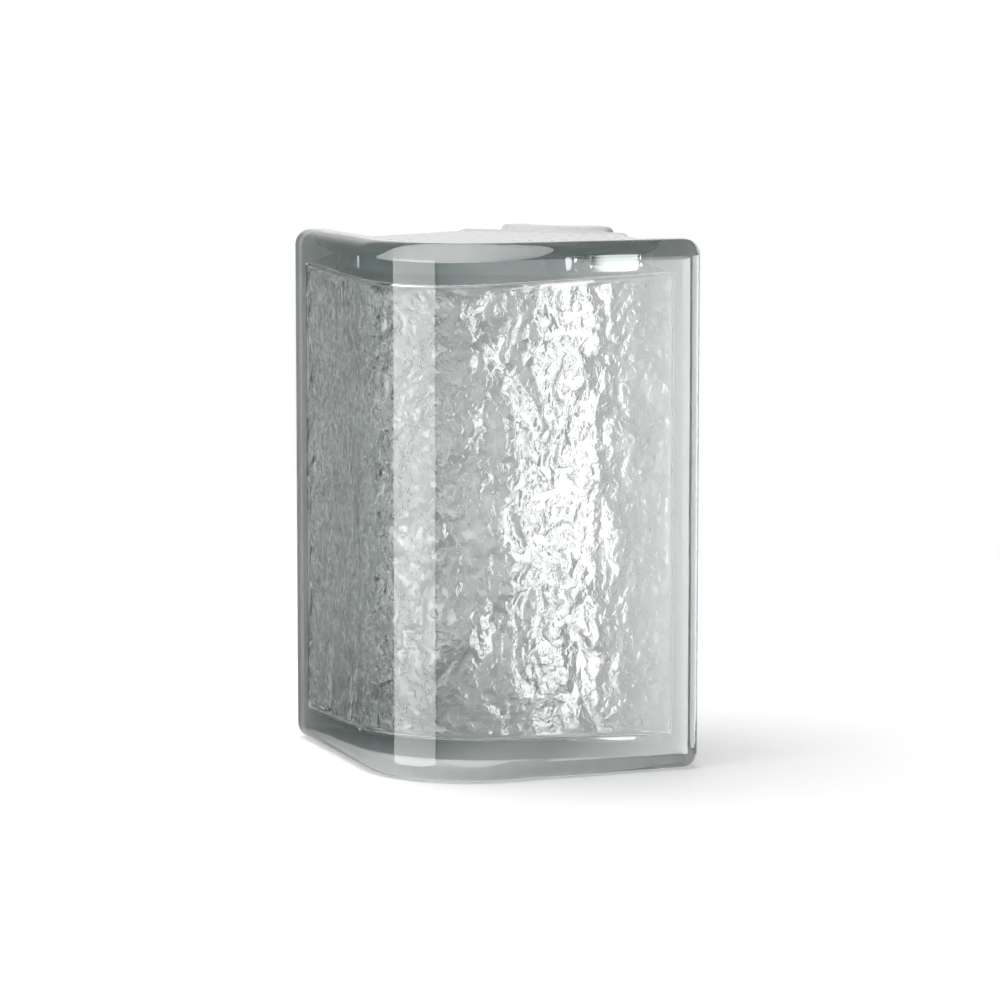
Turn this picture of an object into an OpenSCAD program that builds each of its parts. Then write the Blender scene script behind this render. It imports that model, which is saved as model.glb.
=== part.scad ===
// Corner glass block: a sealed hollow unit of pressed glass that carries a glass-block wall
// round a right angle. Two pressed shells, fused along a seam, make one solid with a hollow in it.
// The block stands on its bed. Its outer faces look to -X and -Y, and they meet in the rounded
// outer corner. The mortar end faces look to +X and +Y, and the concave inner face lies between them.
// All lengths are in millimetres.

/* [Block] */
// Length of each leg along its outer face, from the sharp corner to the end face
leg_length = 120; // [105:1:150]
// Thickness of the wall that the block continues, which is the width of an end face
wall_t = 98; // [85:1:102]
// Height of the block
block_h = 197; // [140:1:240]
// Radius of the rounded outer corner
corner_r = 42; // [34:1:60]

/* [Lips] */
// Depth of the lip round the outer face
front_lip_w = 14; // [11:0.5:20]
// Depth of the lip round the inner face
back_lip_w = 14; // [10:0.5:18]
// Rounding of the edges of the outer face
front_edge_r = 6; // [3:0.5:8]
// Rounding of the edges of the inner face
back_edge_r = 3; // [1:0.5:4]
// Run of the sloped side of a lip, down to the mortar groove
lip_slope_w = 3; // [1:0.5:4]

/* [Mortar groove] */
// Depth of the groove in the end faces
end_groove = 2; // [1:0.1:4]
// Depth of the groove in the beds, at the seam and behind it
bed_groove = 2; // [1:0.1:4]
// Draft of the beds from the seam towards the outer corner, in degrees
bed_draft = 3.2; // [1:0.1:5]
// Place of the seam on an end face, from the outer face
seam_at = 66; // [50:1:75]
// Width of the fused bead along the seam
seam_w = 3; // [1.5:0.1:5]
// Height of the fused bead above the groove
seam_h = 0.6; // [0.3:0.1:1]

/* [Hollow] */
// Thickness of the glass behind the outer faces
face_glass = 9; // [6:0.5:12]
// Thickness of the glass in front of the inner face
back_glass = 9; // [6:0.5:12]
// Thickness of the glass behind the grooves of beds and ends
side_glass = 7.3; // [6:0.1:10]
// Rounding of the hollow's upright edges
hollow_r = 2; // [1:0.5:8]

/* [Hidden] */
$fn = 96;
overrun = 1;
glass_color = [0.78, 0.86, 0.84, 0.55];
diagonal = sqrt(2);
// Places along the bisector of the corner, from the sharp outer corner
seam_b = (leg_length + seam_at) / diagonal;
back_b = leg_length * diagonal;
nose_b = corner_r * (diagonal - 1);
// The concave inner face is a quarter round about the corner where the end planes meet
inner_r = leg_length - wall_t;
nose_groove = groove_at(nose_b);
end_side = end_groove + side_glass;
bead_sides = [[seam_w, seam_h / 2], [seam_w / 2, seam_h]];

// Depth of the bed groove at a place along the bisector
function groove_at(b) = bed_groove + max(0, seam_b - b) * tan(bed_draft);
function toward(angle) = [cos(angle), sin(angle)];

// Corners of the hollow in plan: centre, radius, angle where the round begins and angle that it sweeps
hollow_near = face_glass + hollow_r;
hollow_far = leg_length - end_side - hollow_r;
// The back of the hollow is round too, and its two corners touch that round
hollow_back_r = inner_r + back_glass;
hollow_back = leg_length - sqrt((hollow_back_r + hollow_r) ^ 2 - (leg_length - hollow_far) ^ 2);
back_turn = atan2(leg_length - hollow_back, leg_length - hollow_far);
hollow_corners = [[[corner_r, corner_r], corner_r - face_glass, 180, 90],
                  [[hollow_far, hollow_near], hollow_r, 270, 90],
                  [[hollow_far, hollow_back], hollow_r, 0, back_turn],
                  [[hollow_back, hollow_far], hollow_r, 90 - back_turn, back_turn],
                  [[hollow_near, hollow_far], hollow_r, 90, 90]];

// A shape and its mirror image across the bisector
module both_legs() {
    children();
    mirror([1, -1, 0]) children();
}

// Turns +Y to the bisector, so that a profile of bisector place and height can be run across it
module across_bisector(run) {
    rotate([0, 0, 45]) rotate([90, 0, 0]) translate([0, 0, -run / 2]) linear_extrude(run) children();
}

// Runs a profile of depth and height along the outer faces and round the outer corner
module along_outer_face() {
    both_legs()
        translate([corner_r, 0, 0]) rotate([90, 0, 90])
            linear_extrude(leg_length - corner_r) children();
    translate([corner_r, corner_r, 0]) rotate([0, 0, 180])
        rotate_extrude(angle = 90) translate([corner_r, 0]) mirror([1, 0]) children();
}

// Profile of a lip, of depth from its face and height, with its two face edges rounded
module lip_profile(depth, edge_r, groove) {
    polygon([[edge_r, 0], [depth - lip_slope_w, 0], [depth, groove],
             [depth, block_h - groove], [depth - lip_slope_w, block_h], [edge_r, block_h]]);
    translate([0, edge_r]) square([edge_r, block_h - 2 * edge_r]);
    for (z = [edge_r, block_h - edge_r]) translate([edge_r, z]) circle(r = edge_r);
}

// Elevation of a leg with its corners at the end face rounded
module leg_elevation(edge_r) {
    translate([-overrun, 0]) square([leg_length - edge_r + overrun, block_h]);
    translate([0, edge_r]) square([leg_length, block_h - 2 * edge_r]);
    for (z = [edge_r, block_h - edge_r]) translate([leg_length - edge_r, z]) circle(r = edge_r);
}

module leg_limits(edge_r) {
    intersection() {
        translate([0, leg_length + overrun, 0]) rotate([90, 0, 0])
            linear_extrude(leg_length + 2 * overrun) leg_elevation(edge_r);
        mirror([1, -1, 0]) translate([0, leg_length + overrun, 0]) rotate([90, 0, 0])
            linear_extrude(leg_length + 2 * overrun) leg_elevation(edge_r);
    }
}

// Plan of the front lip at one leg: the end edge is rounded and its back slopes to the groove
module front_lip_plan() {
    polygon([[0, 0], [leg_length - front_edge_r, 0], [leg_length - front_edge_r, front_edge_r],
             [leg_length, front_edge_r], [leg_length, front_lip_w - lip_slope_w],
             [leg_length - end_groove, front_lip_w], [0, front_lip_w]]);
    translate([leg_length - front_edge_r, front_edge_r]) circle(r = front_edge_r);
}

module front_lip() {
    intersection() {
        along_outer_face() lip_profile(front_lip_w, front_edge_r, nose_groove);
        leg_limits(front_edge_r);
        translate([0, 0, -overrun]) linear_extrude(block_h + 2 * overrun) {
            both_legs() front_lip_plan();
            square(corner_r);
        }
    }
}

// Plan of the back lip's ends, where its front slopes to the groove
module back_lip_plan() {
    lip_at = wall_t - back_lip_w;
    polygon([[0, lip_at], [leg_length - end_groove, lip_at], [leg_length, lip_at + lip_slope_w],
             [leg_length, leg_length], [0, leg_length]]);
}

module back_lip() {
    intersection() {
        translate([leg_length, leg_length, 0]) rotate([0, 0, 180]) rotate_extrude(angle = 90)
            translate([inner_r, 0]) lip_profile(back_lip_w, back_edge_r, bed_groove);
        leg_limits(back_edge_r);
        translate([0, 0, -overrun]) linear_extrude(block_h + 2 * overrun) intersection() {
            back_lip_plan();
            mirror([1, -1]) back_lip_plan();
        }
    }
}

// Plan of the shells between the lips, with the ends let in by a depth
module shell_plan(let_in) {
    difference() {
        union() {
            translate([corner_r, 0]) square([leg_length - let_in - corner_r, leg_length - let_in]);
            translate([0, corner_r]) square([leg_length - let_in, leg_length - let_in - corner_r]);
            translate([corner_r, corner_r]) circle(r = corner_r);
        }
        translate([leg_length, leg_length]) circle(r = inner_r + back_edge_r);
    }
}

// Side view of the shells along the bisector: beds with draft, seam, and a level back
module shell_side(proud) {
    top = block_h - bed_groove + proud;
    low = bed_groove - proud;
    polygon([[0, groove_at(0) - proud], [seam_b, low], [back_b, low],
             [back_b, top], [seam_b, top], [0, block_h - groove_at(0) + proud]]);
}

module shells(proud) {
    intersection() {
        linear_extrude(block_h) intersection() {
            shell_plan(end_groove - proud);
            translate([front_edge_r, front_edge_r]) square(leg_length);
        }
        across_bisector(2 * leg_length) shell_side(proud);
    }
}

module seam_bead() {
    for (side = bead_sides) intersection() {
        shells(side[1]);
        rotate([0, 0, 45]) translate([seam_b - side[0] / 2, -leg_length, 0])
            cube([side[0], 2 * leg_length, block_h]);
    }
}

module hollow_plan() {
    difference() {
        polygon([for (c = hollow_corners) for (a = [c[2], c[2] + c[3]]) c[0] + c[1] * toward(a)]);
        translate([leg_length, leg_length]) circle(r = hollow_back_r);
    }
    for (c = hollow_corners) translate(c[0]) circle(r = c[1]);
}

// The sealed hollow: its roof and floor follow the draft of the beds
module hollow() {
    intersection() {
        linear_extrude(block_h) hollow_plan();
        across_bisector(2 * leg_length) shell_side(-side_glass);
    }
}

module glass_block() {
    color(glass_color) translate([-leg_length / 2, -leg_length / 2, 0]) difference() {
        union() {
            front_lip();
            shells(0);
            back_lip();
            seam_bead();
        }
        hollow();
    }
}

glass_block();
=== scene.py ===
"""Looks of the corner glass block: clear pressed glass with lips, mortar grooves and ice relief inside.

The block is rebuilt here as one closed glass mesh: a smooth outer skin, and the skin of the sealed hollow
with the pressed relief on it. Its lengths are in millimetres in the block's own plan frame, whose origin is
the sharp outer corner on the floor, and they are turned into metres in the row frame when a mesh is made.
The camera and the studio are in metres.
"""

import math
from collections import namedtuple

import bmesh
import bpy
import numpy as np
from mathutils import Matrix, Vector


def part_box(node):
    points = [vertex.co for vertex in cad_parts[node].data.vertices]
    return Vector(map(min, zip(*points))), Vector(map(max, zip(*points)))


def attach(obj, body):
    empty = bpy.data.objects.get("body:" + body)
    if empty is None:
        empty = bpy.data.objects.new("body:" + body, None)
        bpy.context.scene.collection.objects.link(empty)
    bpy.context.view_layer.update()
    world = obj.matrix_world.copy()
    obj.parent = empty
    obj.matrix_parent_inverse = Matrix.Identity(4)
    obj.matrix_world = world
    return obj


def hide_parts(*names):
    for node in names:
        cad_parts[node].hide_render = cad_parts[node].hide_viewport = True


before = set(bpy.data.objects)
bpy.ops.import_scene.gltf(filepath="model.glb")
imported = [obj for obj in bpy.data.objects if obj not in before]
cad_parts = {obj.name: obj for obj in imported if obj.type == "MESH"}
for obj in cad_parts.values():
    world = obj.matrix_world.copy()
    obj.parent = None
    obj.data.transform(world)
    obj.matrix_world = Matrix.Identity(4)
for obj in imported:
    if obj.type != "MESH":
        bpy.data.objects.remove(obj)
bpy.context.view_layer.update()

MM = 0.001
node_low, node_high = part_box("glass_block")

# Sizes of the block, as in the CAD model
LEG = (node_high.x - node_low.x) / MM
HEIGHT = (node_high.z - node_low.z) / MM
WALL_T = 98
CORNER_R = 42
FRONT_LIP = 14
BACK_LIP = 14
FRONT_EDGE = 6
BACK_EDGE = 3
LIP_SLOPE = 3
END_GROOVE = 2
BED_GROOVE = 2
BED_DRAFT = math.tan(math.radians(3.2))
SEAM_AT = 66
SEAM_W = 3
SEAM_H = 0.6
FACE_GLASS = 9
BACK_GLASS = 9
SIDE_GLASS = 7.3
HOLLOW_CORNER = 2

# Radius of the inner face, and what the two places of a point on the seam add up to in plan
INNER_R = LEG - WALL_T
SEAM_SUM = LEG + SEAM_AT

# Roundings that only the looks have: where the grooves of bed and end meet, and round the hollow's roof
GROOVE_CORNER = 3
ROOF_EDGE = 2

# Places of the materials in the mesh
GLASS, COAT = range(2)

# How finely the skins are divided
LEG_STEPS = 22
NOSE_STEPS = 56
SIDE_STEPS = 48
ROUND_STEPS = 10
CORNER_STEPS = 7
SLOPE_STEPS = 8
BEAD_STEPS = 8
HOLLOW_CORNER_STEPS = 6
RELIEF_PITCH = 0.86
PLAIN_PITCH = 3.5

# Where rings lie on the flats of the lips and across the groove, as shares of the way back
FRONT_FLAT_SHARES = (0.3, 0.6)
FRONT_GROOVE_SHARES = (0.02, 0.25, 0.5, 0.75, 0.98)
BACK_GROOVE_SHARES = (0.05, 0.5, 0.97)
BACK_FLAT_SHARES = (0.35, 0.7)

# How far the side of a lip runs on past both its ends, as a share of its run
SLOPE_OVERRUN_SHARE = 0.1

# Points that lie closer together than this become one, and shorter edges are taken out
MERGE_DISTANCE = 0.002
SHORTEST_EDGE = 0.001

# Glass: its tint works over a thickness in metres, and its outside has slight waves
GLASS_IOR = 1.52
GLASS_TINT = (0.40, 0.73, 0.70)
GLASS_DENSITY = 3.0
WAVE_SIZE = 25
WAVE_HEIGHT = 0.05

# Fine crackle on the pressed relief: it rises where the noise is within the range and is level elsewhere.
# The outer face has a share of the inner face's height.
CRACKLE_SIZE = 3.0
CRACKLE_HEIGHT = 0.4
CRACKLE_RANGE = (0.48, 0.72)
FRONT_CRACKLE_SHARE = 0.85

# Matt pale finish of the mortar faces
COAT_DARK = (0.74, 0.74, 0.74)
COAT_PALE = (0.83, 0.83, 0.825)
COAT_ROUGHNESS = (0.25, 0.4)
COAT_GLOSS = 0.5
MOTTLE_SIZE = 4
MOTTLE_RANGE = (0.3, 0.7)
GRAIN_SIZE = 0.6
GRAIN_HEIGHT = 0.06

# Relief pressed into the hollow's faces: its seeds, the height that lies on the wall, and its plain border
RELIEF_LAYER = "relief"
FRONT_SEED = 7
BACK_SEED = 47
RELIEF_STEP = 0.45
RELIEF_MARGIN = 0.3
RELIEF_BORDER = 1.0

# Parts of the ice pattern: how high each one is, and how long its features are along a face and up it
Feature = namedtuple("Feature", "height along up")
SWELL = Feature(1.3, 19, 27)
LUMPS = Feature(0.95, 8.5, 11.5)
CREASES = Feature(0.4, 5, 8)
PEBBLES = Feature(0.23, 3.2, 4.2)

# Flow that pulls the pattern along a face and up it, with ripples from another place in the same noise
FLOW_ALONG = Feature(4, 16, 22)
FLOW_UP = Feature(5, 18, 20)
RIPPLE = Feature(1.5, 5, 6)
RIPPLE_ALONG_START = (7, 0)
RIPPLE_UP_START = (0, 3)

# The noise repeats after this many cells, and the gain brings it to between about -1 and 1
NOISE_CELLS = 64
NOISE_GAIN = 1.6

# Places along a path: the left leg begins at 0, then come the nose and the right leg
NOSE_START = 1
NOSE_END = 2
PATH_END = 3


def bed_groove(plan):
    """Depth of the bed groove at points in plan: it deepens from the seam towards the outer corner."""
    run = (SEAM_SUM - plan.sum(axis=-1)) / math.sqrt(2)
    return BED_GROOVE + np.maximum(0, run) * BED_DRAFT


def toward(angle):
    """Directions in plan at angles."""
    return np.stack([np.cos(angle), np.sin(angle)], axis=-1)


def smooth(x):
    """Soft step from 0 to 1, while x goes from 0 to 1."""
    x = np.clip(x, 0, 1)
    return x * x * (3 - 2 * x)


def mix(a, b, share):
    return a + (b - a) * share


def path_places():
    """Places along a path, evenly spread on each leg and on the nose."""
    left = np.linspace(0, NOSE_START, LEG_STEPS + 1)
    nose = np.linspace(NOSE_START, NOSE_END, NOSE_STEPS + 1)[1:-1]
    right = np.linspace(NOSE_END, PATH_END, LEG_STEPS + 1)
    return np.concatenate([left, nose, right])


PATH = path_places()


def outer_curve(depth):
    """Plan curve that follows the outer faces at a depth. It stops short of the end planes by trim."""

    def curve(place, trim):
        end = LEG - trim
        angle = np.pi + np.clip(place - NOSE_START, 0, 1) * np.pi / 2
        nose = CORNER_R + (CORNER_R - depth) * toward(angle)
        left = np.clip(NOSE_START - place, 0, 1) * (end - CORNER_R)
        right = np.clip(place - NOSE_END, 0, 1) * (end - CORNER_R)
        return nose + np.stack([right, left], axis=-1)

    return curve


def inner_curve(depth):
    """Plan curve that follows the concave inner face at a depth from it."""
    radius = INNER_R + depth

    def curve(place, trim):
        start = math.asin(trim / radius)
        angle = np.pi + start + place / PATH_END * (np.pi / 2 - 2 * start)
        return LEG + radius * toward(angle)

    return curve


def seam_curve(offset):
    """Plan line of the seam, moved towards the inner face by an offset."""
    total = SEAM_SUM + offset * math.sqrt(2)

    def curve(place, trim):
        end = LEG - trim
        share = (place / PATH_END)[..., None]
        return mix(np.array([total - end, end]), np.array([end, total - end]), share)

    return curve


def between(first, second, share):
    """Plan curve at a share of the way from a first curve to a second one."""

    def curve(place, trim):
        return mix(first(place, trim), second(place, trim), share)

    return curve


# One ring of the outer skin: its plan curve, the radius of its corners, how far it lies inside the block's
# box, its share of the groove's depth, its rise above that, and whether the matt finish reaches it
Ring = namedtuple("Ring", "curve corner inset groove rise coated", defaults=(0, 0, 0, True))


def rounded_rings(edge, curve_at, angles):
    """The rounded edge of a face. The matt finish reaches only the ring where the edge meets the flat."""
    rings = []
    for angle in angles:
        curve = curve_at(edge * (1 - math.cos(angle)))
        inset = edge * (1 - math.sin(angle))
        on_flat = math.isclose(angle, math.pi / 2)
        rings.append(Ring(curve, edge * math.sin(angle), inset=inset, coated=on_flat))
    return rings


def flat_rings(edge, curve_at, start, end, shares):
    """The flat of a lip."""
    return [Ring(curve_at(mix(start, end, share)), edge) for share in shares]


def slope_rings(edge, curve_at, start, end):
    """The soft side of a lip, from its flat down to the groove."""
    rings = []
    for share in np.linspace(-SLOPE_OVERRUN_SHARE, 1 + SLOPE_OVERRUN_SHARE, SLOPE_STEPS + 1):
        groove = float(smooth(share))
        corner = mix(edge, GROOVE_CORNER, groove)
        rings.append(Ring(curve_at(mix(start, end, share)), corner, groove=groove))
    return rings


def groove_rings(first, second, shares):
    """The bottom of the groove between two plan curves."""
    return [Ring(between(first, second, share), GROOVE_CORNER, groove=1) for share in shares]


def bead_rings():
    """The fused bead along the seam."""
    rings = []
    for share in np.linspace(-1, 1, BEAD_STEPS + 1):
        rise = SEAM_H * math.cos(share * math.pi / 2) ** 2
        rings.append(Ring(seam_curve(share * SEAM_W / 2), GROOVE_CORNER, groove=1, rise=rise))
    return rings


def outer_rings():
    """All rings of the outer skin, from the edge of the outer face to the edge of the inner face."""
    quarter = np.linspace(0, math.pi / 2, ROUND_STEPS + 1)
    front_flat = FRONT_LIP - LIP_SLOPE
    front_foot = outer_curve(FRONT_LIP + SLOPE_OVERRUN_SHARE * LIP_SLOPE)
    back_flat = BACK_LIP - LIP_SLOPE
    back_foot = inner_curve(BACK_LIP + SLOPE_OVERRUN_SHARE * LIP_SLOPE)
    return [
        *rounded_rings(FRONT_EDGE, outer_curve, quarter),
        *flat_rings(FRONT_EDGE, outer_curve, FRONT_EDGE, front_flat, FRONT_FLAT_SHARES),
        *slope_rings(FRONT_EDGE, outer_curve, front_flat, FRONT_LIP),
        *groove_rings(front_foot, seam_curve(-SEAM_W / 2), FRONT_GROOVE_SHARES),
        *bead_rings(),
        *groove_rings(seam_curve(SEAM_W / 2), back_foot, BACK_GROOVE_SHARES),
        *slope_rings(BACK_EDGE, inner_curve, back_flat, BACK_LIP)[::-1],
        *flat_rings(BACK_EDGE, inner_curve, back_flat, BACK_EDGE, BACK_FLAT_SHARES),
        *rounded_rings(BACK_EDGE, inner_curve, quarter[::-1]),
    ]


def roof(ring, plan):
    """Height of a ring's upper run at points in plan."""
    return HEIGHT - (ring.inset + ring.groove * bed_groove(plan) - ring.rise)


def below(points):
    """The same points on the lower half, because the block is the same upside down."""
    return points * [1, 1, -1] + [0, 0, HEIGHT]


def ring_points(ring):
    """Points of one ring, round the block: along the top, down one end, back along the bottom and up."""
    trim = ring.inset + ring.groove * END_GROOVE - ring.rise
    top = ring.curve(PATH, trim + ring.corner)
    top = np.column_stack([top, roof(ring, top)])

    def end(place):
        place = np.array([float(place)])
        near = ring.curve(place, trim + ring.corner)
        far = ring.curve(place, trim)
        turn = np.linspace(0, np.pi / 2, CORNER_STEPS + 2)[1:, None]
        plan = mix(near, far, np.sin(turn))
        height = roof(ring, plan) - ring.corner * (1 - np.cos(turn[:, 0]))
        corner = np.column_stack([plan, height])
        drop = np.linspace(0, 1, SIDE_STEPS + 1)[1:-1, None]
        side = corner[-1] + drop * [0, 0, HEIGHT - 2 * height[-1]]
        return corner, side

    right_corner, right_side = end(PATH_END)
    left_corner, left_side = end(0)

    return np.concatenate([
        top, right_corner, right_side, below(right_corner)[::-1],
        below(top)[::-1], below(left_corner), left_side[::-1], left_corner[::-1],
    ])


def face_grid(ring):
    """Grid over a face inside its edge ring: rows from top to bottom, places along the face."""
    plan = ring.curve(PATH, ring.inset)
    top = HEIGHT - ring.inset
    rows = np.linspace(top, HEIGHT - top, SIDE_STEPS + 1)
    return np.stack([np.column_stack([plan, np.full(len(plan), z)]) for z in rows])


def quads(columns, rows, closed):
    """Faces of a grid of points that is stored row after row."""
    a = np.arange(columns if closed else columns - 1)
    b = (a + 1) % columns
    base = np.arange(rows - 1)[:, None] * columns
    corners = [base + a, base + b, base + columns + b, base + columns + a]
    return np.stack(corners, axis=-1).reshape(-1, 4)


def to_row_frame(points):
    """Points of the block's plan frame, in metres in the row frame."""
    return (points - [LEG / 2, LEG / 2, 0]) * MM + [0, 0, node_low.z]


def add_grid(bm, points, closed):
    """Adds a grid of points, rows by columns, to a mesh in the making. Returns its vertices and faces."""
    rows, columns = points.shape[:2]
    verts = [bm.verts.new(p) for p in to_row_frame(points.reshape(-1, 3))]
    faces = [bm.faces.new([verts[k] for k in quad]) for quad in quads(columns, rows, closed)]
    for face in faces:
        face.smooth = True
    return verts, faces


def add_outer_skin(bm):
    """Adds the outside: a band of rings round the block, and the outer and the inner face."""
    rings = outer_rings()
    band = np.stack([ring_points(ring) for ring in rings])
    _, faces = add_grid(bm, band, True)
    in_groove = [a.coated and b.coated for a, b in zip(rings, rings[1:])]
    for face, coated in zip(faces, np.repeat(in_groove, band.shape[1])):
        face.material_index = COAT if coated else GLASS
    for ring in (rings[0], rings[-1]):
        add_grid(bm, face_grid(ring), False)
    bmesh.ops.remove_doubles(bm, verts=bm.verts, dist=MERGE_DISTANCE * MM)
    bmesh.ops.dissolve_degenerate(bm, edges=bm.edges, dist=SHORTEST_EDGE * MM)
    bmesh.ops.recalc_face_normals(bm, faces=bm.faces)


class GradientNoise:
    """Smooth noise between about -1 and 1 over the plane, the same on every run."""

    def __init__(self, seed):
        angles = np.random.default_rng(seed).uniform(0, 2 * np.pi, (NOISE_CELLS, NOISE_CELLS))
        self.slopes = toward(angles)

    def __call__(self, x, y):
        cell_x = np.floor(x).astype(int)
        cell_y = np.floor(y).astype(int)
        fx = x - cell_x
        fy = y - cell_y
        total = 0
        for dx in (0, 1):
            for dy in (0, 1):
                slope = self.slopes[(cell_x + dx) % NOISE_CELLS, (cell_y + dy) % NOISE_CELLS]
                weight = smooth(1 - abs(fx - dx)) * smooth(1 - abs(fy - dy))
                total = total + weight * (slope[..., 0] * (fx - dx) + slope[..., 1] * (fy - dy))
        return NOISE_GAIN * total


def feature_height(source, feature, x, y, start=(0, 0)):
    """Height of a feature at places x along a face and y up it, from a source of noise."""
    return feature.height * source(x / feature.along + start[0], y / feature.up + start[1])


def ice_relief(x, y, seed):
    """Height in millimetres of the pressed ice pattern at places x along a face and y up it."""
    swell, broad, flow_a, flow_b, ridge, fine = (GradientNoise(seed + k) for k in range(6))
    flow_x = feature_height(flow_a, FLOW_ALONG, x, y)
    flow_y = feature_height(flow_b, FLOW_UP, x, y)
    wx = x + flow_x + feature_height(flow_a, RIPPLE, x, y, RIPPLE_ALONG_START)
    wy = y + flow_y + feature_height(flow_b, RIPPLE, x, y, RIPPLE_UP_START)
    lumps = feature_height(swell, SWELL, x, y) + feature_height(broad, LUMPS, wx, wy)
    creases = CREASES.height * (1 - 2 * abs(ridge(wx / CREASES.along, wy / CREASES.up)))
    return lumps + creases + feature_height(fine, PEBBLES, wx, wy)


PLAIN, FRONT, BACK = range(3)

# Round stretch of the hollow in plan: centre, radius, angle where it begins, angle that it sweeps, and the
# wall that it belongs to
Turn = namedtuple("Turn", "centre radius start sweep wall")


def hollow_turns():
    """Round stretches of the hollow in plan, in order. Straight walls join them where they don't touch.

    The back of the hollow bends the other way, about the corner where the end planes meet, so its radius is
    negative.
    """
    near = FACE_GLASS + HOLLOW_CORNER
    far = LEG - END_GROOVE - SIDE_GLASS - HOLLOW_CORNER
    back_r = INNER_R + BACK_GLASS
    back = LEG - math.sqrt((back_r + HOLLOW_CORNER) ** 2 - (LEG - far) ** 2)
    turn = math.atan2(LEG - back, LEG - far)
    right = math.pi / 2
    return [
        Turn((CORNER_R, CORNER_R), CORNER_R - FACE_GLASS, math.pi, right, FRONT),
        Turn((far, near), HOLLOW_CORNER, -right, right, PLAIN),
        Turn((far, back), HOLLOW_CORNER, 0, turn, PLAIN),
        Turn((LEG, LEG), -back_r, turn, right - 2 * turn, BACK),
        Turn((back, far), HOLLOW_CORNER, right - turn, turn, PLAIN),
        Turn((near, far), HOLLOW_CORNER, right, right, PLAIN),
    ]


# Points round the hollow in plan, their outward directions, their walls, and the run along the wall's face
Outline = namedtuple("Outline", "plan out wall run")


def hollow_outline():
    """The hollow's outline. The runs of the front and the back wall count from the middle of the wall."""
    turns = hollow_turns()
    half_nose = turns[0].radius * turns[0].sweep / 2
    pieces = []
    for i, turn in enumerate(turns):
        centre = np.array(turn.centre, float)
        length = abs(turn.radius * turn.sweep)
        steps = HOLLOW_CORNER_STEPS if turn.wall == PLAIN else round(length / RELIEF_PITCH)
        share = np.linspace(0, 1, steps, endpoint=False)
        out = toward(turn.start + turn.sweep * share)
        pieces.append((centre + turn.radius * out, out, turn.wall, (share - 0.5) * length))

        out = toward(np.array(turn.start + turn.sweep))
        following = turns[(i + 1) % len(turns)]
        start = centre + turn.radius * out
        end = np.array(following.centre) + following.radius * out
        length = np.linalg.norm(end - start)
        if length < RELIEF_PITCH:
            continue
        wall = FRONT if FRONT in (turn.wall, following.wall) else PLAIN
        steps = round(length / (PLAIN_PITCH if wall == PLAIN else RELIEF_PITCH))
        share = np.linspace(0, 1, steps, endpoint=False)
        run = half_nose + share * length if i == 0 else -half_nose - (1 - share) * length
        points = mix(start, end, share[:, None])
        pieces.append((points, np.broadcast_to(out, points.shape), wall, run))
    plan, out, wall, run = zip(*pieces)
    walls = [np.full(len(points), w) for points, w in zip(plan, wall)]
    return Outline(*map(np.concatenate, (plan, out, walls, run)))


def hollow_roof(plan):
    """Height of the hollow's roof at points in plan."""
    return HEIGHT - bed_groove(plan) - SIDE_GLASS


def relief_share(outline, to_bed):
    """Share of the relief along one round of points: 1 inside a face's border and 0 outside it."""
    share = np.zeros(len(to_bed))
    for wall in (FRONT, BACK):
        on = outline.wall == wall
        run = np.abs(outline.run[on])
        to_edge = np.minimum(to_bed[on], run.max() - run)
        share[on] = smooth((to_edge - RELIEF_MARGIN) / RELIEF_BORDER)
    return share


def relief_depth(outline, z):
    """How far the relief goes into the glass from the walls of the hollow, along one round of points."""
    seeds = np.where(outline.wall == BACK, BACK_SEED, FRONT_SEED)
    depth = np.zeros(len(z))
    for seed in np.unique(seeds):
        on = seeds == seed
        depth[on] = ice_relief(outline.run[on], z[on], seed) - RELIEF_STEP
    return depth


def hollow_walls(outline):
    """Rows of points up the walls of the hollow, and the share of the crackle at each point."""
    steps = round((HEIGHT - 2 * (BED_GROOVE + SIDE_GLASS + ROOF_EDGE)) / RELIEF_PITCH)
    top = hollow_roof(outline.plan) - ROOF_EDGE
    foot = HEIGHT - top
    crackle = np.where(outline.wall == BACK, 1, FRONT_CRACKLE_SHARE)
    rows = []
    shares = []
    for step in np.linspace(0, 1, steps + 1):
        z = mix(foot, top, step)
        share = relief_share(outline, np.minimum(z - foot, top - z))
        depth = share * relief_depth(outline, z)
        rows.append(np.column_stack([outline.plan + outline.out * depth[:, None], z]))
        shares.append(share * crackle)
    return rows, shares


def roof_edge(outline):
    """Rows of points round the edge between the hollow's walls and its roof."""
    rows = []
    for angle in np.linspace(0, np.pi / 2, ROUND_STEPS + 1)[1:]:
        inset = outline.plan - outline.out * ROOF_EDGE * (1 - math.cos(angle))
        rows.append(np.column_stack([inset, hollow_roof(inset) - ROOF_EDGE * (1 - math.sin(angle))]))
    return rows


def add_hollow_skin(bm):
    """Adds the hollow: its walls with the relief, its rounded edges, its roof and its floor."""
    outline = hollow_outline()
    columns = len(outline.plan)
    walls, shares = hollow_walls(outline)
    upper = roof_edge(outline)
    lower = [below(row) for row in upper[::-1]]
    plain = [np.zeros(columns)] * len(upper)
    verts, faces = add_grid(bm, np.stack(lower + walls + upper), True)
    pressed = bm.verts.layers.float[RELIEF_LAYER]
    for vert, share in zip(verts, np.concatenate(plain + shares + plain)):
        vert[pressed] = share
    caps = [bm.faces.new(verts[:columns]), bm.faces.new(verts[-columns:])]
    bmesh.ops.recalc_face_normals(bm, faces=faces + caps)
    bmesh.ops.reverse_faces(bm, faces=faces + caps)
    fold_along_seam(bm, caps)


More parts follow.
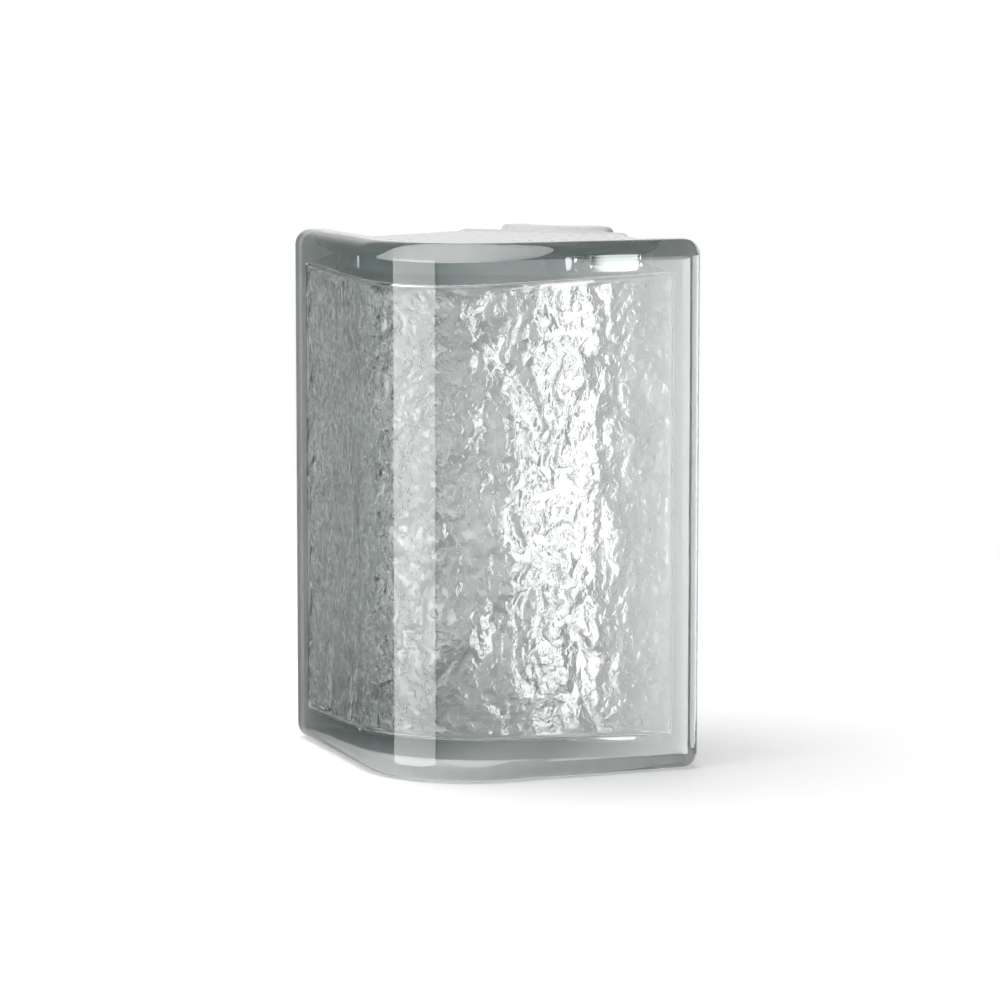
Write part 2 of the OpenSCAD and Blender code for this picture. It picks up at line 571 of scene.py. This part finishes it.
def fold_along_seam(bm, caps):
    """Parts the roof and the floor of the hollow along the seam, where the draft of the beds begins."""
    on_seam = to_row_frame(np.array([SEAM_SUM / 2, SEAM_SUM / 2, 0]))
    edges = {edge for cap in caps for edge in cap.edges}
    verts = {vert for cap in caps for vert in cap.verts}
    bmesh.ops.bisect_plane(bm, geom=[*caps, *edges, *verts], plane_co=on_seam, plane_no=(1, 1, 0))


def shader_nodes(owner):
    owner.use_nodes = True
    return owner.node_tree.nodes, owner.node_tree.links


def map_range(nodes, low, high, to_low, to_high):
    node = nodes.new("ShaderNodeMapRange")
    for name, value in (("From Min", low), ("From Max", high), ("To Min", to_low), ("To Max", to_high)):
        node.inputs[name].default_value = value
    return node


def noise(nodes, links, size, detail):
    """Noise whose features are about as long as size, in millimetres."""
    where = nodes.new("ShaderNodeTexCoord")
    texture = nodes.new("ShaderNodeTexNoise")
    texture.inputs["Scale"].default_value = 1 / (size * MM)
    texture.inputs["Detail"].default_value = detail
    links.new(where.outputs["Object"], texture.inputs["Vector"])
    return texture.outputs["Fac"]


def bump(nodes, links, height):
    """Bump from a height in millimetres."""
    node = nodes.new("ShaderNodeBump")
    node.inputs["Strength"].default_value = 1.0
    node.inputs["Distance"].default_value = MM
    links.new(height, node.inputs["Height"])
    return node.outputs["Normal"]


def glass_material():
    """Clear soda-lime glass, fire-polished outside, with a fine crackle on the pressed relief.

    A faint green shows in its thickness.
    """
    material = bpy.data.materials.new("clear_glass")
    nodes, links = shader_nodes(material)
    shader = nodes["Principled BSDF"]
    shader.inputs["Base Color"].default_value = (1, 1, 1, 1)
    shader.inputs["Roughness"].default_value = 0.0
    shader.inputs["IOR"].default_value = GLASS_IOR
    shader.inputs["Transmission Weight"].default_value = 1.0

    waves = map_range(nodes, 0, 1, 0, WAVE_HEIGHT)
    links.new(noise(nodes, links, WAVE_SIZE, detail=1), waves.inputs["Value"])
    crackle = map_range(nodes, *CRACKLE_RANGE, 0, CRACKLE_HEIGHT)
    links.new(noise(nodes, links, CRACKLE_SIZE, detail=3), crackle.inputs["Value"])
    pressed = nodes.new("ShaderNodeAttribute")
    pressed.attribute_name = RELIEF_LAYER
    height = nodes.new("ShaderNodeMix")
    links.new(pressed.outputs["Fac"], height.inputs["Factor"])
    links.new(waves.outputs["Result"], height.inputs["A"])
    links.new(crackle.outputs["Result"], height.inputs["B"])
    links.new(bump(nodes, links, height.outputs["Result"]), shader.inputs["Normal"])

    absorb = nodes.new("ShaderNodeVolumeAbsorption")
    absorb.inputs["Color"].default_value = (*GLASS_TINT, 1)
    absorb.inputs["Density"].default_value = GLASS_DENSITY
    links.new(absorb.outputs["Volume"], nodes["Material Output"].inputs["Volume"])
    return material


def coat_material():
    """Matt pale finish of the mortar faces, mottled and a little grainy.

    Seen through the glass it has no gloss.
    """
    material = bpy.data.materials.new("matt_groove")
    nodes, links = shader_nodes(material)
    shader = nodes["Principled BSDF"]
    shade = nodes.new("ShaderNodeMix")
    shade.data_type = "RGBA"
    shade.inputs["A"].default_value = (*COAT_DARK, 1)
    shade.inputs["B"].default_value = (*COAT_PALE, 1)
    links.new(noise(nodes, links, MOTTLE_SIZE, detail=3), shade.inputs["Factor"])
    links.new(shade.outputs["Result"], shader.inputs["Base Color"])
    rough = map_range(nodes, *MOTTLE_RANGE, *COAT_ROUGHNESS)
    links.new(noise(nodes, links, MOTTLE_SIZE, detail=1), rough.inputs["Value"])
    links.new(rough.outputs["Result"], shader.inputs["Roughness"])
    side = nodes.new("ShaderNodeNewGeometry")
    gloss = map_range(nodes, 0, 1, COAT_GLOSS, 0)
    links.new(side.outputs["Backfacing"], gloss.inputs["Value"])
    links.new(gloss.outputs["Result"], shader.inputs["Specular IOR Level"])
    grain = map_range(nodes, 0, 1, 0, GRAIN_HEIGHT)
    links.new(noise(nodes, links, GRAIN_SIZE, detail=2), grain.inputs["Value"])
    links.new(bump(nodes, links, grain.outputs["Result"]), shader.inputs["Normal"])
    return material


def make_block():
    bm = bmesh.new()
    bm.verts.layers.float.new(RELIEF_LAYER)
    add_outer_skin(bm)
    add_hollow_skin(bm)
    mesh = bpy.data.meshes.new("glass_unit")
    bm.to_mesh(mesh)
    bm.free()
    block = bpy.data.objects.new("glass_unit", mesh)
    bpy.context.collection.objects.link(block)
    mesh.materials.append(glass_material())
    mesh.materials.append(coat_material())
    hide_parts("glass_block")
    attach(block, "root")


# Camera, fitted to the block's outline in the photograph, whose frame is 1000 pixels square
FRAME_PX = 1000
CAMERA_AZIMUTH = math.radians(-21.1)
CAMERA_ELEVATION = math.radians(7.0)
CAMERA_DISTANCE = 1.561
FOCAL_PX = 4136
CENTRE_PX = (493.6, 494.6)
SENSOR_MM = 36


def make_camera():
    data = bpy.data.cameras.new("camera")
    camera = bpy.data.objects.new("camera", data)
    bpy.context.collection.objects.link(camera)
    level = math.cos(CAMERA_ELEVATION)
    x = math.sin(CAMERA_AZIMUTH) * level
    y = -math.cos(CAMERA_AZIMUTH) * level
    back = Vector((x, y, math.sin(CAMERA_ELEVATION)))
    centre = (node_low + node_high) / 2
    camera.location = centre + back * CAMERA_DISTANCE
    camera.rotation_euler = (-back).to_track_quat("-Z", "Y").to_euler()
    data.sensor_width = SENSOR_MM
    data.lens = data.sensor_width * FOCAL_PX / FRAME_PX
    data.shift_x = (FRAME_PX / 2 - CENTRE_PX[0]) / FRAME_PX
    data.shift_y = (CENTRE_PX[1] - FRAME_PX / 2) / FRAME_PX
    bpy.context.scene.camera = camera


# Studio, with lights as strengths at which 1 is white. An edge says where one light passes into the next:
# for the sweep as the cosine of the angle from its middle, for ceiling and ground as a direction's height.
SWEEP_TURN = math.radians(170)
SWEEP_EDGE = (0.7, 0.85)
SWEEP_LIGHT = 0.9
FRONT_LIGHT = 0.08
CEILING_EDGE = (0.3, 0.65)
CEILING_SHARE = 0.3
GROUND_EDGE = (-0.22, -0.3)
GROUND_LIGHT = 0.6


def sweep_light(nodes, links, direction):
    """Light of the white sweep behind the block, and of the dim studio elsewhere."""
    behind = nodes.new("ShaderNodeVectorMath")
    behind.operation = "DOT_PRODUCT"
    middle = CAMERA_AZIMUTH + SWEEP_TURN
    behind.inputs[1].default_value = (math.sin(middle), -math.cos(middle), 0)
    links.new(direction, behind.inputs[0])
    sweep = map_range(nodes, *SWEEP_EDGE, FRONT_LIGHT, SWEEP_LIGHT)
    links.new(behind.outputs["Value"], sweep.inputs["Value"])
    return sweep.outputs["Result"]


def studio_light(nodes, links):
    """Light from all round: the sweep and the dim studio, dimmer at the ceiling, and the pale ground."""
    where = nodes.new("ShaderNodeTexCoord")
    direction = where.outputs["Generated"]
    split = nodes.new("ShaderNodeSeparateXYZ")
    links.new(direction, split.inputs[0])
    ceiling = map_range(nodes, *CEILING_EDGE, 1.0, CEILING_SHARE)
    links.new(split.outputs["Z"], ceiling.inputs["Value"])
    above = nodes.new("ShaderNodeMath")
    above.operation = "MULTIPLY"
    links.new(sweep_light(nodes, links, direction), above.inputs[0])
    links.new(ceiling.outputs["Result"], above.inputs[1])
    ground = map_range(nodes, *GROUND_EDGE, 0.0, 1.0)
    links.new(split.outputs["Z"], ground.inputs["Value"])
    around = nodes.new("ShaderNodeMix")
    around.inputs["B"].default_value = GROUND_LIGHT
    links.new(ground.outputs["Result"], around.inputs["Factor"])
    links.new(above.outputs["Value"], around.inputs["A"])
    return around.outputs["Result"]


def make_world():
    """The studio round the block, which the glass shows. The camera itself sees plain white."""
    world = bpy.data.worlds.new("studio")
    bpy.context.scene.world = world
    nodes, links = shader_nodes(world)
    background = nodes["Background"]
    background.inputs["Color"].default_value = (1, 1, 1, 1)
    ray = nodes.new("ShaderNodeLightPath")
    pick = nodes.new("ShaderNodeMix")
    pick.inputs["B"].default_value = 1.0
    links.new(ray.outputs["Is Camera Ray"], pick.inputs["Factor"])
    links.new(studio_light(nodes, links), pick.inputs["A"])
    links.new(pick.outputs["Result"], background.inputs["Strength"])


# Floor: it fades out between two shares of its radius, and its lift is light that only the camera sees
FLOOR_R = 1.0
FLOOR_SIDES = 96
FLOOR_WHITE = (0.93, 0.93, 0.93)
FLOOR_ROUGHNESS = 0.9
FLOOR_FADE_SHARES = (0.2, 0.7)
FLOOR_LIFT = 0.3


def floor_material():
    """Matt white that fades out away from the block."""
    material = bpy.data.materials.new("floor_white")
    nodes, links = shader_nodes(material)
    shader = nodes["Principled BSDF"]
    shader.inputs["Base Color"].default_value = (*FLOOR_WHITE, 1)
    shader.inputs["Roughness"].default_value = FLOOR_ROUGHNESS
    shader.inputs["Specular IOR Level"].default_value = 0.0
    where = nodes.new("ShaderNodeTexCoord")
    away = nodes.new("ShaderNodeVectorMath")
    away.operation = "LENGTH"
    links.new(where.outputs["Object"], away.inputs[0])
    fade_start, fade_end = (share * FLOOR_R for share in FLOOR_FADE_SHARES)
    fade = map_range(nodes, fade_start, fade_end, 1.0, 0.0)
    links.new(away.outputs["Value"], fade.inputs["Value"])
    links.new(fade.outputs["Result"], shader.inputs["Alpha"])
    shader.inputs["Emission Color"].default_value = (1, 1, 1, 1)
    ray = nodes.new("ShaderNodeLightPath")
    lift = map_range(nodes, 0.0, 1.0, 0.0, FLOOR_LIFT)
    links.new(ray.outputs["Is Camera Ray"], lift.inputs["Value"])
    links.new(lift.outputs["Result"], shader.inputs["Emission Strength"])
    return material


def make_floor():
    """White floor under the block. In the glass, the studio's ground stands in for it."""
    bpy.ops.mesh.primitive_circle_add(vertices=FLOOR_SIDES, radius=FLOOR_R, fill_type="NGON")
    floor = bpy.context.object
    floor.location.z = node_low.z
    floor.name = "floor"
    floor.data.materials.append(floor_material())
    floor.visible_glossy = False
    floor.visible_transmission = False


# Upright cards for the glass to show: each one's angle from the camera's side and its width in degrees,
# the heights of its lower and upper edge, its lights, and whether it shows through the glass and not only
# on it. The light goes from the first value, at the end with the smaller angle, to the second one at a
# share of the width.
Card = namedtuple("Card", "name turn width low high lights through")
SOFTBOX = Card("softbox", -53, 46, -0.3, 0.25, (6, 6), True)
FILL_CARD = Card("fill_card", 46.5, 9, -0.28, 0.17, (3.5, 12.2), True)
SIDE_CARD = Card("side_card", 95, 60, -0.22, 0.15, (6.5, 6.5), False)
FRONT_CARD = Card("front_card", 10, 76, -0.3, 0.2, (1.4, 3.5), True)
CARD_DISTANCE = 1.2
CARD_RAMP_SHARE = 0.6


def card_material(name, lights):
    """Plain light that changes along a card."""
    material = bpy.data.materials.new(name)
    nodes, links = shader_nodes(material)
    nodes.remove(nodes["Principled BSDF"])
    where = nodes.new("ShaderNodeTexCoord")
    split = nodes.new("ShaderNodeSeparateXYZ")
    links.new(where.outputs["Generated"], split.inputs[0])
    ramp = map_range(nodes, 0.0, CARD_RAMP_SHARE, *lights)
    links.new(split.outputs["X"], ramp.inputs["Value"])
    glow = nodes.new("ShaderNodeEmission")
    links.new(ramp.outputs["Result"], glow.inputs["Strength"])
    links.new(glow.outputs[0], nodes["Material Output"].inputs["Surface"])
    return material


def make_card(plan):
    """One upright card that faces the block. It lights no matt surface, and the camera doesn't see it."""
    bpy.ops.mesh.primitive_plane_add(size=1)
    card = bpy.context.object
    card.name = plan.name
    azimuth = CAMERA_AZIMUTH + math.radians(plan.turn)
    width = 2 * CARD_DISTANCE * math.tan(math.radians(plan.width) / 2)
    card.scale = (width, plan.high - plan.low, 1)
    x = math.sin(azimuth) * CARD_DISTANCE
    y = -math.cos(azimuth) * CARD_DISTANCE
    card.location = (x, y, (plan.low + plan.high) / 2)
    card.rotation_euler = (math.pi / 2, 0, azimuth)
    card.data.materials.append(card_material(plan.name, plan.lights))
    card.visible_camera = False
    card.visible_diffuse = False
    card.visible_shadow = False
    card.visible_transmission = plan.through


def make_cards():
    """A tall softbox on the left, which is the bright band on the round corner, and three more cards.

    One stands in front, one covers its right end, and one lights the right-hand edge.
    """
    for plan in (SOFTBOX, FILL_CARD, SIDE_CARD, FRONT_CARD):
        make_card(plan)


# Overhead light, in metres and watts
OVERHEAD_SIZE = 2.4
OVERHEAD_POWER = 60
OVERHEAD_PLACE = (-0.6, 0.2, 2.2)
OVERHEAD_AIM = (0, 0, 0.1)


def make_overhead_light():
    """Broad soft light from above, which lights the floor and casts the block's shadow."""
    data = bpy.data.lights.new("overhead", "AREA")
    data.shape = "RECTANGLE"
    data.size = OVERHEAD_SIZE
    data.size_y = OVERHEAD_SIZE
    data.energy = OVERHEAD_POWER
    light = bpy.data.objects.new("overhead", data)
    bpy.context.collection.objects.link(light)
    light.location = OVERHEAD_PLACE
    aim = Vector(OVERHEAD_AIM) - light.location
    light.rotation_euler = aim.to_track_quat("-Z", "Y").to_euler()
    light.visible_glossy = False


# How often light may pass from glass to air and back, and how often it may be mirrored
GLASS_BOUNCES = 24
MIRROR_BOUNCES = 12

make_block()
make_camera()
make_world()
make_floor()
make_cards()
make_overhead_light()

scene = bpy.context.scene
scene.view_settings.view_transform = "Standard"
scene.cycles.use_adaptive_sampling = False
scene.cycles.max_bounces = GLASS_BOUNCES
scene.cycles.transmission_bounces = GLASS_BOUNCES
scene.cycles.glossy_bounces = MIRROR_BOUNCES
